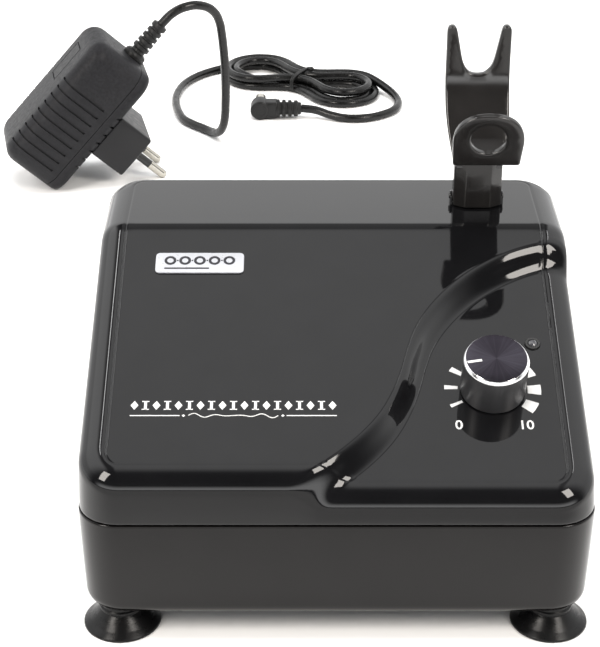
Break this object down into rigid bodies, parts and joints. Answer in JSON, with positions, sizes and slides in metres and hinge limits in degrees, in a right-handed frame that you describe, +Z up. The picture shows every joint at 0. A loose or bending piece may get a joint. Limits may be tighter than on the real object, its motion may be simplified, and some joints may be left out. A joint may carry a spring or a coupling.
{
  "type": "airbrush compressor",
  "caption": "Small desktop airbrush compressor: sloping gloss black case on suction feet, speed knob, fold-back airbrush holder, rear air outlet and mains adapter with lead.",
  "frame": {"origin": "on the surface it stands on, under the centre of the compressor's own box", "axes": "+Z up, +Y to the rear where the air outlet is, +X to the right as seen from the front"},
  "size_m": [0.2282, 0.5029, 0.1476],
  "materials": {
    "case_gloss": "high gloss black",
    "case_lower": "gloss black",
    "badge_silver": "satin",
    "print_white": "printed ink",
    "screw_steel": "zinc plated",
    "cup_rubber": "matt rubber",
    "knob_anodised": "spun, black anodised",
    "brass": "machined",
    "shaft_steel": "turned",
    "pot_case": "stamped",
    "led_lens": "clear lens",
    "black_plastic": "moulded",
    "board_green": "solder mask",
    "cap_blue": "sleeved",
    "hose_silicone": "translucent",
    "filter_white": "moulded",
    "motor_steel": "plated",
    "copper": "wound copper",
    "magnet": "ferrite",
    "die_cast": "die cast",
    "flap_rubber": "moulded",
    "holder_plastic": "satin gloss",
    "wire_red": "pvc",
    "adapter_plastic": "fine grained",
    "pin_nickel": "nickel plated",
    "lead_pvc": "pvc"
  },
  "bodies": {
    "root": {"top_case": "case_gloss", "bottom_case": "case_lower", "badge": "badge_silver", "front_print": "print_white", "dial_scale": "print_white", "case_screws": "screw_steel", "suction_feet": "cup_rubber", "pot_body": "pot_case", "pot_nut": "shaft_steel", "led": "led_lens", "led_bezel": "black_plastic", "circuit_board": "board_green", "board_screws": "screw_steel", "smoothing_capacitor": "cap_blue", "power_transistor": "black_plastic", "dc_jack": "black_plastic", "jack_pin": "brass", "jack_nut": "shaft_steel", "outlet_fitting": "brass", "outlet_nut": "brass", "outlet_hose": "hose_silicone", "inlet_filter": "filter_white", "motor_can": "motor_steel", "motor_end_cap": "black_plastic", "motor_bearings": "shaft_steel", "motor_magnets": "magnet", "motor_screws": "screw_steel", "diaphragm": "cup_rubber", "pump_frame": "die_cast", "valve_plate": "die_cast", "valve_flaps": "flap_rubber", "head_cover": "black_plastic", "head_screws": "screw_steel", "pump_bracket": "motor_steel", "rubber_mounts": "cup_rubber", "mount_screws": "screw_steel", "holder_pin": "shaft_steel", "wires": "wire_red", "adapter_shell": "adapter_plastic", "adapter_cover": "adapter_plastic", "adapter_plug_block": "adapter_plastic", "adapter_pins": "pin_nickel", "strain_relief": "lead_pvc", "dc_lead": "lead_pvc", "lead_hank": "lead_pvc", "lead_tail": "lead_pvc", "twist_tie": "lead_pvc", "dc_plug": "lead_pvc", "dc_plug_barrel": "pin_nickel"},
    "knob": {"knob": "knob_anodised", "knob_pointer": "print_white", "knob_insert": "brass", "pot_shaft": "shaft_steel"},
    "holder": {"holder": "holder_plastic"},
    "rotor": {"motor_shaft": "shaft_steel", "armature": "copper", "eccentric": "die_cast", "crank_bearing": "shaft_steel"},
    "rod": {"connecting_rod": "filter_white"}
  },
  "joints": [
    {"name": "knob_turn", "type": "hinge", "parent": "root", "child": "knob", "pos_m": [0.0466, -0.0364, 0.06475], "axis": [0, -0.3517, 0.9361], "range_deg": [-221, 17]},
    {"name": "holder_fold", "type": "hinge", "parent": "root", "child": "holder", "pos_m": [0.047, 0.039, 0.0943], "axis": [-1, 0, 0], "range_deg": [0, 75]},
    {"name": "motor_spin", "type": "hinge", "parent": "root", "child": "rotor", "pos_m": [-0.02, 0.014, 0.04], "axis": [1, 0, 0], "continuous": true},
    {"name": "rod_stroke", "type": "slide", "parent": "root", "child": "rod", "axis": [0, 0, 1], "range_m": [-0.0012, 0.0012], "stiffness_N_per_m": 300}
  ]
}
